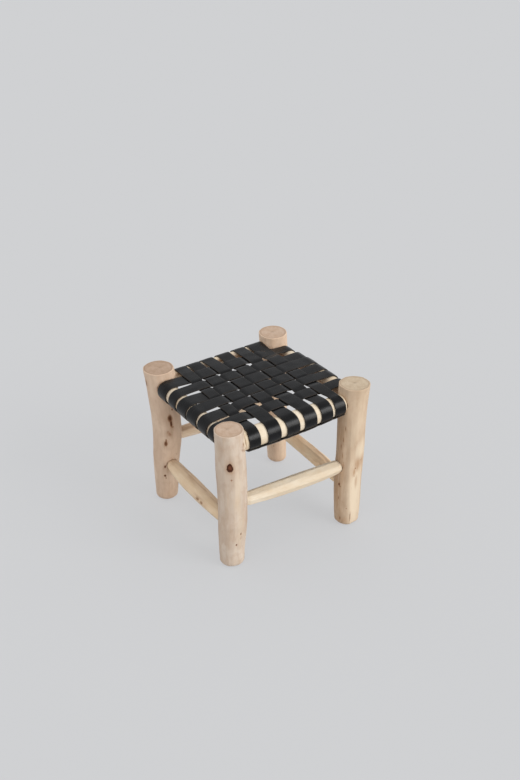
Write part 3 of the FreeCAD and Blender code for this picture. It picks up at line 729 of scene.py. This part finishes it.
# Middle of each strap across the seat and its width, in mm, at six places on its way: the face of the first
# rail, its top, the seat just behind it, the middle of the seat, the top of the last rail and its face.
# Lengthwise straps run from front to back and are counted from the left; crosswise ones run from left to
# right and are counted from the front.
straps = {
    "lengthwise": (
        ((-86.8, 22.6), (-85.4, 20.2), (-85.8, 19.4), (-81.7, 21.3), (-79.3, 23.7), (-79.2, 24.5)),
        ((-48.3, 26.0), (-48.1, 25.8), (-47.7, 26.3), (-51.3, 28.0), (-51.4, 25.2), (-52.3, 25.4)),
        ((-10.6, 26.2), (-13.8, 28.5), (-13.0, 25.4), (-17.0, 25.6), (-22.8, 24.5), (-23.5, 25.0)),
        ((25.2, 25.2), (24.2, 26.7), (22.8, 27.6), (14.2, 28.9), (11.6, 26.1), (10.5, 25.0)),
        ((59.4, 24.2), (58.1, 23.7), (57.3, 25.3), (49.1, 25.8), (45.8, 23.6), (44.5, 25.0)),
        ((87.9, 22.4), (86.7, 19.4), (84.8, 22.9), (80.3, 25.9), (79.2, 32.4), (79.0, 31.6)),
    ),
    "crosswise": (
        ((-89.1, 19.0), (-90.3, 23.3), (-90.3, 23.3), (-87.6, 26.8), (-87.8, 25.6), (-87.2, 25.6)),
        ((-59.5, 30.9), (-58.5, 30.2), (-58.5, 30.2), (-48.0, 25.5), (-50.1, 24.9), (-48.0, 23.1)),
        ((-23.2, 32.5), (-21.4, 29.7), (-21.4, 29.7), (-19.9, 26.5), (-19.5, 27.0), (-18.9, 26.2)),
        ((12.4, 32.0), (11.8, 31.9), (11.8, 31.9), (12.4, 32.5), (12.0, 28.4), (13.2, 27.5)),
        ((46.8, 25.0), (47.7, 25.8), (47.7, 25.8), (45.2, 27.7), (41.8, 29.6), (43.2, 30.2)),
        ((85.4, 30.4), (85.1, 31.1), (85.1, 31.1), (82.2, 30.1), (86.4, 22.4), (87.2, 20.4)),
    ),
}


# Middle and width of a strap at places along the seat (beyond the rails they stay as they are).
def strapCourse(rows, along):
    table = np.array(rows) / 1000
    middle = through((-half, 0.0, half), table[2:5], np.clip(along, -half, half))
    top = ease(*strapLook["front"], -along)[:, None]
    first = ease(half, strapLook["rail"], -along)[:, None]
    last = ease(half, strapLook["rail"], along)[:, None]
    return middle + top * (table[1] - table[2]) + first * (table[0] - table[1]) + last * (table[5] - table[4])


# Heights of a strap's middle line over the straps' own level: level runs over and under the straps it
# crosses, with straight slopes between, all softened by a bell-shaped running mean.
def weaveHeight(along, rows, others, firstUp):
    look = strapLook
    places, heights = [], []
    rise = look["rise"] if firstUp else -look["rise"]
    for other in others:
        at = 0.0
        for _ in range(4):
            at = strapCourse(other, np.array([strapCourse(rows, np.array([at]))[0, 0]]))[0, 0]
        here = strapCourse(rows, np.array([at]))[0, 0]
        reach = strapCourse(other, np.array([here]))[0, 1] / 2 + look["flatMargin"]
        places += [at - reach, at + reach]
        heights += [rise, rise]
        rise = -rise
    first, last = places[0], places[-1]
    # Level for a quarter of the way from a rail to the nearest strap. The mean runs over 20 ticks each way.
    level, spare, tick, tail = 0.25, 0.02, 0.0004, 20
    places = [-half, -half + level * (half + first)] + places + [half - level * (half - last), half]
    heights = [0, 0] + heights + [0, 0]
    fine = np.arange(-half - spare, half + spare, tick)
    line = np.interp(fine, places, heights)
    bell = np.exp(-0.5 * (np.arange(-tail, tail + 1) * tick / look["soften"]) ** 2)
    smooth = np.convolve(np.pad(line, tail, mode="edge"), bell / bell.sum(), mode="valid")
    return np.interp(along, fine, smooth)


# The skin of a strap, or of a strip that binds strap ends, from places across the straps, along them and
# above the seat. Lengthwise straps run along Y.
def bandSkin(kind, label, way, rings, hide, cut, flesh, material):
    across, along, height = rings
    places = [across, along, height] if way == "lengthwise" else [along, across, height]
    cut, flesh = np.broadcast_to(cut, across.shape), np.broadcast_to(flesh, across.shape)
    extras = {"hide": hide, "cut": cut, "flesh": flesh}
    return skin(kind + "." + label, seatPlace(np.stack(places, -1)), material,
                [kind + "_" + label], extras)


# A strap: a rounded band section carried from under one rail, over it, across the weave, over the other rail
# and back under it. Across the band it bellies a little. Its edges wander as cut by hand, and next to a leg
# they are pressed in so that the strap clears it.
def makeStrap(way, number, material):
    look, rows = strapLook, straps[way][number]
    others = straps["crosswise" if way == "lengthwise" else "lengthwise"]
    firstUp = (number % 2 == 1) == (way == "lengthwise")
    run = np.linspace(-half, half, int(2 * half / look["step"]))
    height = stool["strapLevel"] + weaveHeight(run, rows, others, firstUp)
    alongParts, liftParts = [run], [height]
    for end, rail in zip((-1, 1), strapEnds[way]):
        place = strapCourse(rows, np.array([end * half]))[0, 0]
        radius, axis = float(railRadius(rail, place)) + look["lift"], float(railAxis(rail, place))
        drop = stool["strapLevel"] - radius - axis
        height -= drop * ease(look["fall"][0] * half, look["fall"][1] * half, end * run)
        arc = np.arange(0, np.radians(wraps[rail][0]), look["step"] / radius)[1:]
        alongPart, liftPart = end * (half + radius * np.sin(arc)), axis + radius * np.cos(arc)
        alongParts = [alongPart[::-1]] + alongParts if end < 0 else alongParts + [alongPart]
        liftParts = [liftPart[::-1]] + liftParts if end < 0 else liftParts + [liftPart]
    along, lift = np.concatenate(alongParts), np.concatenate(liftParts)
    steps = np.hypot(np.diff(along), np.diff(lift))
    keep = np.concatenate([[True], steps > 1e-7])
    along, lift = along[keep], lift[keep]
    travel = np.concatenate([[0], np.cumsum(np.hypot(np.diff(along), np.diff(lift)))])
    dA, dL = np.gradient(along, travel), np.gradient(lift, travel)
    size = np.hypot(dA, dL)
    normal = np.stack([-dL / size, dA / size], -1)
    course = strapCourse(rows, along)
    seed = 40 + number + (20 if way == "crosswise" else 0)
    (slow, slowLength), (quick, quickLength) = look["wobble"]
    wobble = [slow * ripple(travel[:, None], seed + k, slowLength)
              + quick * ripple(travel[:, None], seed + k + 3, quickLength) for k in (0, 1)]
    low = course[:, 0] - course[:, 1] / 2 + wobble[0]
    high = course[:, 0] + course[:, 1] / 2 + wobble[1]
    for leg in legs.values():
        cornerAcross = leg["corner"][0 if way == "lengthwise" else 1]
        cx, cy, radius = (float(v) for v in legAxis(leg, np.array(stool["seatHeight"] + look["legLevel"])))
        cx, cy = cx + stool["middle"][0], cy + stool["middle"][1]
        across, ahead = (cx, cy) if way == "lengthwise" else (cy, cx)
        depth = np.sqrt(np.clip(radius ** 2 - (along - ahead) ** 2, 0, None))
        near = np.abs(along - ahead) < radius
        limit = across - cornerAcross * (depth + look["legGap"])
        if cornerAcross < 0:
            low = np.where(near, np.maximum(low, limit), low)
        else:
            high = np.where(near, np.minimum(high, limit), high)
    wide, thin = look["facePoints"], look["edgePoints"]
    turn = np.linspace(-1, 1, wide)
    flat = np.sign(turn) * (1 - (1 - np.abs(turn)) ** 1.5)
    bend = np.linspace(pi / 2, -pi / 2, thin + 2)[1:-1]
    thick, edge = look["thickness"] / 2, look["edgeRound"]
    # Section as (share of half width, inset from the edge, height), over the grain face, an edge, the flesh
    # face and the other edge.
    share = np.concatenate([flat, np.ones(thin), flat[::-1], -np.ones(thin)])
    rounding = 1 - np.cos(bend)
    inset = edge * np.concatenate([np.abs(flat), rounding, np.abs(flat[::-1]), rounding])
    up = thick * np.concatenate([np.ones(wide), np.sin(bend), -np.ones(wide), -np.sin(bend)])
    middle, halfWidth = ((low + high) / 2)[:, None], ((high - low) / 2)[:, None]
    crosswise = share * halfWidth - np.sign(share) * inset
    cockle, cockleLength = look["cockle"]
    face = np.stack([np.broadcast_to(travel[:, None], crosswise.shape), crosswise], -1)
    tall = up + (look["crown"] * (1 - share ** 2) + cockle * ripple(face, seed + 9, cockleLength))
    a = along[:, None] + tall * normal[:, :1]
    z = lift[:, None] + tall * normal[:, 1:]
    c = middle + crosswise
    hide = np.stack([np.broadcast_to(travel[:, None], c.shape) + seed * 0.53, crosswise, tall], -1)
    cut = np.concatenate([ease(0.86, 1.0, np.abs(flat)) * 0.55, np.ones(thin),
                          ease(0.7, 1.0, np.abs(flat[::-1])), np.ones(thin)])
    flesh = np.concatenate([np.zeros(wide), np.full(thin, 0.5), np.ones(wide), np.full(thin, 0.5)])
    return bandSkin("strap", "%s_%d" % (way, number + 1), way, (c, a, z), hide, cut, flesh, material)


# Black strap leather: a semi-gloss grain side with fine pores, long scuffs and paler worn places, brown where
# the edge was cut, and a dull grey-brown flesh side.
leather = {"black": (10, 10, 11), "worn": (22, 22, 24), "cutEdge": (32, 27, 24), "flesh": (58, 50, 43),
           "rough": 0.25, "shine": 0.20, "cloudSize": 0.020, "mottleSize": 0.0045, "scuffSize": 0.0014,
           "poreSize": 0.0007, "cloudBump": 0.0004, "mottleBump": 0.00007, "poreBump": 0.00002}


def makeLeather(name, look):
    look = linearLook(look)
    material, tree, shader = newMaterial(name)
    hide = attribute(tree, "hide", "Vector")
    cut, flesh = (attribute(tree, kind, "Fac") for kind in ("cut", "flesh"))
    clouds = noise(tree, hide, look["cloudSize"], (1.4, 1, 1), 2.0, 0.5)
    mottle = noise(tree, hide, look["mottleSize"], (1.5, 1, 1), 3.0, 0.6)
    scuffs = noise(tree, hide, look["scuffSize"], (12, 1, 1), 2.0, 0.5)
    pores = noise(tree, hide, look["poreSize"], (1, 1, 1), 2.0, 0.6)
    face = blendColours(tree, spread(tree, clouds, 0.35, 0.7), look["black"], look["worn"])
    face = layer(tree, face, mottle, 0.45, 0.75, 0.5, look["worn"])
    face = layer(tree, face, scuffs, 0.66, 0.85, 0.25, look["flesh"])
    raw = blendColours(tree, spread(tree, pores, 0.3, 0.7), look["cutEdge"], look["flesh"])
    face = blendColours(tree, calculate(tree, "MULTIPLY", cut, 0.65), face, raw)
    face = blendColours(tree, calculate(tree, "MULTIPLY", flesh, 0.8), face, raw)
    tree.links.new(face, shader.inputs["Base Color"])
    rough = calculate(tree, "ADD", spread(tree, clouds, 0.3, 0.7, look["rough"] + 0.05, look["rough"] - 0.05),
                      calculate(tree, "MULTIPLY", flesh, 0.35))
    rough = calculate(tree, "ADD", rough, spread(tree, mottle, 0.4, 0.7, 0.0, 0.05))
    tree.links.new(rough, shader.inputs["Roughness"])
    shader.inputs["Specular IOR Level"].default_value = look["shine"]
    bumps(tree, shader, [(clouds, look["cloudBump"]), (mottle, look["mottleBump"]),
                         (pores, look["poreBump"])])
    return material


strapLeather = makeLeather("black strap leather", leather)
for way in straps:
    for number in range(6):
        makeStrap(way, number, strapLeather)
print("straps ready")

# Binding strips under the rails

# "wander" is how far the cut edges sway, as (radians, length): two waves of the first edge and one of the
# other.
bindingLook = {"lift": 0.0024, "thickness": 0.0016, "dip": 0.0009, "edgeRound": 0.0006, "endGap": 0.0003,
               "step": 0.0014, "wander": ((0.035, 0.030), (0.02, 0.008), (0.03, 0.040)), "facePoints": 18,
               "edgePoints": 5}


# A strip along a rail's underside: a curved band section, carried along the rail. Its cut edges wander, and
# it sinks a little between the straps that it covers.
def makeBinding(side, material):
    look = bindingLook
    way = "lengthwise" if side in ("front", "back") else "crosswise"
    end = 1 if side in ("back", "right") else -1
    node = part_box("binding_" + side)
    axis = 0 if way == "lengthwise" else 1
    shift = stool["middle"][axis]
    gap = look["endGap"]
    place = np.arange(node[0][axis] + shift + gap, node[1][axis] + shift - gap, look["step"])
    seed = 70 + len(side)
    table = np.array(straps[way])[:, 0 if end < 0 else 5] / 1000
    inside = table[:, 1] / 2 - np.abs(place[:, None] - table[:, 0])
    covered = np.max(ease(-0.0015, 0.0015, inside), axis=1)
    start, stop = np.radians(wraps[side][1:])
    spot = place[:, None]
    waves = [far * ripple(spot, seed + k, length) for k, (far, length) in enumerate(look["wander"])]
    start = start + waves[0] + waves[1]
    stop = stop + waves[2]
    wide, thin = look["facePoints"], look["edgePoints"]
    turn = np.linspace(0, 1, wide)
    bend = np.linspace(-pi / 2, pi / 2, thin + 2)[1:-1]
    low = railRadius(side, place)[:, None] + look["lift"]
    high = low + look["thickness"]
    share = np.concatenate([turn, np.ones(thin), turn[::-1], np.zeros(thin)])
    over = np.concatenate([np.zeros(wide), np.cos(bend), np.zeros(wide), -np.cos(bend)])
    deep = low + (high - low) * np.concatenate([np.zeros(wide), (np.sin(bend) + 1) / 2, np.ones(wide),
                                                (np.sin(-bend) + 1) / 2])
    angle = start[:, None] + (stop - start)[:, None] * share + over * look["edgeRound"] / high
    deep = deep - (look["dip"] * (1 - covered))[:, None] * np.sin(pi * np.clip(share, 0.15, 1))
    a = end * (half + deep * np.sin(angle))
    z = railAxis(side, place)[:, None] + deep * np.cos(angle)
    c = np.broadcast_to(place[:, None], a.shape)
    hide = np.stack([c + seed * 0.41, high * angle, deep], -1)
    aside = np.abs(turn * 2 - 1)
    cut = np.concatenate([ease(0.8, 1.0, aside) * 0.4, np.ones(thin), ease(0.9, 1.0, aside), np.ones(thin)])
    flesh = np.concatenate([np.ones(wide), np.full(thin, 0.6), np.zeros(wide), np.full(thin, 0.6)])
    return bandSkin("binding", side, way, (c, a, z), hide, cut, flesh, material)


for side in bars:
    makeBinding(side, strapLeather)
print("bindings ready")

# Tacks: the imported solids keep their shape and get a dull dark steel.
steel = {"dark": colour(92, 88, 84), "bright": colour(140, 136, 130), "rough": (0.32, 0.5), "size": 0.0012}


def makeSteel(look):
    material, tree, shader = newMaterial("dull tack steel")
    place = addNode(tree, "TexCoord").outputs["Object"]
    tarnish = noise(tree, place, look["size"], detail=3.0)
    face = blendColours(tree, spread(tree, tarnish, 0.35, 0.7), look["dark"], look["bright"])
    tree.links.new(face, shader.inputs["Base Color"])
    tree.links.new(spread(tree, tarnish, 0.3, 0.7, *look["rough"]), shader.inputs["Roughness"])
    shader.inputs["Metallic"].default_value = 1.0
    return material


tackSteel = makeSteel(steel)
for side in bars:
    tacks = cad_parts["tacks_" + side]
    tacks.data.materials.clear()
    tacks.data.materials.append(tackSteel)
print("tacks ready")

# Floor, light and camera

studio = {"background": colour(208, 209, 211), "floorReach": 30.0, "shadow": 0.28, "world": 0.84,
          "lampReach": 2.6, "lampAim": 0.2, "key": 1.30, "keySpread": 36.0, "keyWay": (0.457, -0.805, 0.405),
          "keyColour": (1.0, 0.985, 0.96), "panel": 2.6, "panelWay": (0.44, -0.70, 0.57),
          "panelSize": (1.9, 1.1), "panelColour": (0.95, 0.97, 1.0)}


def makeFloor():
    mesh = bpy.data.meshes.new("floor")
    corners = np.array([(-1, -1, 0), (1, -1, 0), (1, 1, 0), (-1, 1, 0)]) * studio["floorReach"]
    mesh.from_pydata(corners.tolist(), [], [(0, 1, 2, 3)])
    floor = bpy.data.objects.new("floor", mesh)
    scene.collection.objects.link(floor)
    material, tree, shader = newMaterial("pale floor")
    place = addNode(tree, "TexCoord").outputs["Object"]
    soft = noise(tree, place, 0.4, detail=1.0)
    pale = studio["background"]
    dim = tuple(v * 0.985 for v in pale[:3]) + (1,)
    tree.links.new(blendColours(tree, soft, pale, dim), shader.inputs["Base Color"])
    shader.inputs["Roughness"].default_value = 0.9
    shader.inputs["Specular IOR Level"].default_value = 0.1
    # What the camera and shiny surfaces see is mostly the backdrop's even colour, over which the shadow stays
    # faint.
    even = addNode(tree, "Emission", {"Color": pale, "Strength": 1.0})
    path = addNode(tree, "LightPath")
    seen = calculate(tree, "MAXIMUM", path.outputs["Is Camera Ray"], path.outputs["Is Glossy Ray"])
    share = calculate(tree, "MULTIPLY", seen, 1 - studio["shadow"])
    both = addNode(tree, "MixShader", {0: share, 1: shader.outputs[0], 2: even.outputs[0]})
    tree.links.new(both.outputs[0], tree.nodes["Material Output"].inputs["Surface"])
    mesh.materials.append(material)


# The world lights everything evenly, and shows the backdrop's colour to the camera and in what shines.
def makeWorld():
    world = bpy.data.worlds.new("studio")
    scene.world = world
    world.use_nodes = True
    tree = world.node_tree
    tree.nodes.clear()
    glow = addNode(tree, "Background", {"Color": (1.0, 1.0, 1.0, 1), "Strength": studio["world"]})
    seen = addNode(tree, "Background", {"Color": studio["background"], "Strength": 1.0})
    path = addNode(tree, "LightPath")
    direct = calculate(tree, "MAXIMUM", path.outputs["Is Camera Ray"], path.outputs["Is Glossy Ray"])
    both = addNode(tree, "MixShader", {0: direct, 1: glow.outputs[0], 2: seen.outputs[0]})
    addNode(tree, "OutputWorld", {0: both.outputs[0]})


# A lamp some way out from the stool, facing it.
def placeLamp(name, lamp, way):
    z = np.array(way) / np.linalg.norm(way)
    x = np.cross((0, 0, 1), z)
    x /= np.linalg.norm(x)
    y = np.cross(z, x)
    place = z * studio["lampReach"] + np.array([0, 0, studio["lampAim"]])
    made = bpy.data.objects.new(name, lamp)
    made.matrix_world = Matrix([[x[0], y[0], z[0], place[0]], [x[1], y[1], z[1], place[1]],
                                [x[2], y[2], z[2], place[2]], [0, 0, 0, 1]])
    scene.collection.objects.link(made)
    return made


# The key lights the stool from the front right, and a pale panel near it is there only for shine to mirror.
def makeLamps():
    key = bpy.data.lights.new("key", "SUN")
    key.energy, key.angle = studio["key"], np.radians(studio["keySpread"])
    key.color = studio["keyColour"]
    placeLamp("key", key, studio["keyWay"])
    panel = bpy.data.lights.new("panel", "AREA")
    panel.shape, (panel.size, panel.size_y) = "RECTANGLE", studio["panelSize"]
    panel.energy = studio["panel"] * pi * panel.size * panel.size_y
    panel.color = studio["panelColour"]
    made = placeLamp("panel", panel, studio["panelWay"])
    made.visible_camera = made.visible_diffuse = False


# The camera stands where the photograph's own camera stood over the stool. Its focal length and the picture's
# height are in pixels, its angles are in radians, and its place is measured from the legs' middle.
lens = {"focal": 1143.69, "high": 780, "sensor": 36, "yaw": 0.550778, "pitch": 0.507104, "roll": -0.0155261,
        "place": (-0.9269, -1.5293, 1.2461)}


def makeCamera():
    view = bpy.data.cameras.new("camera")
    view.lens, view.sensor_width = lens["focal"] * lens["sensor"] / lens["high"], lens["sensor"]
    camera = bpy.data.objects.new("camera", view)
    place = np.array(lens["place"]) - (*stool["middle"], 0)
    camera.matrix_world = (Matrix.Translation(place.tolist()) @ Matrix.Rotation(-lens["yaw"], 4, "Z")
                           @ Matrix.Rotation(pi / 2 - lens["pitch"], 4, "X")
                           @ Matrix.Rotation(lens["roll"], 4, "Z"))
    scene.collection.objects.link(camera)
    scene.camera = camera


makeFloor()
makeWorld()
makeLamps()
makeCamera()
print("studio ready")

bpy.context.view_layer.update()
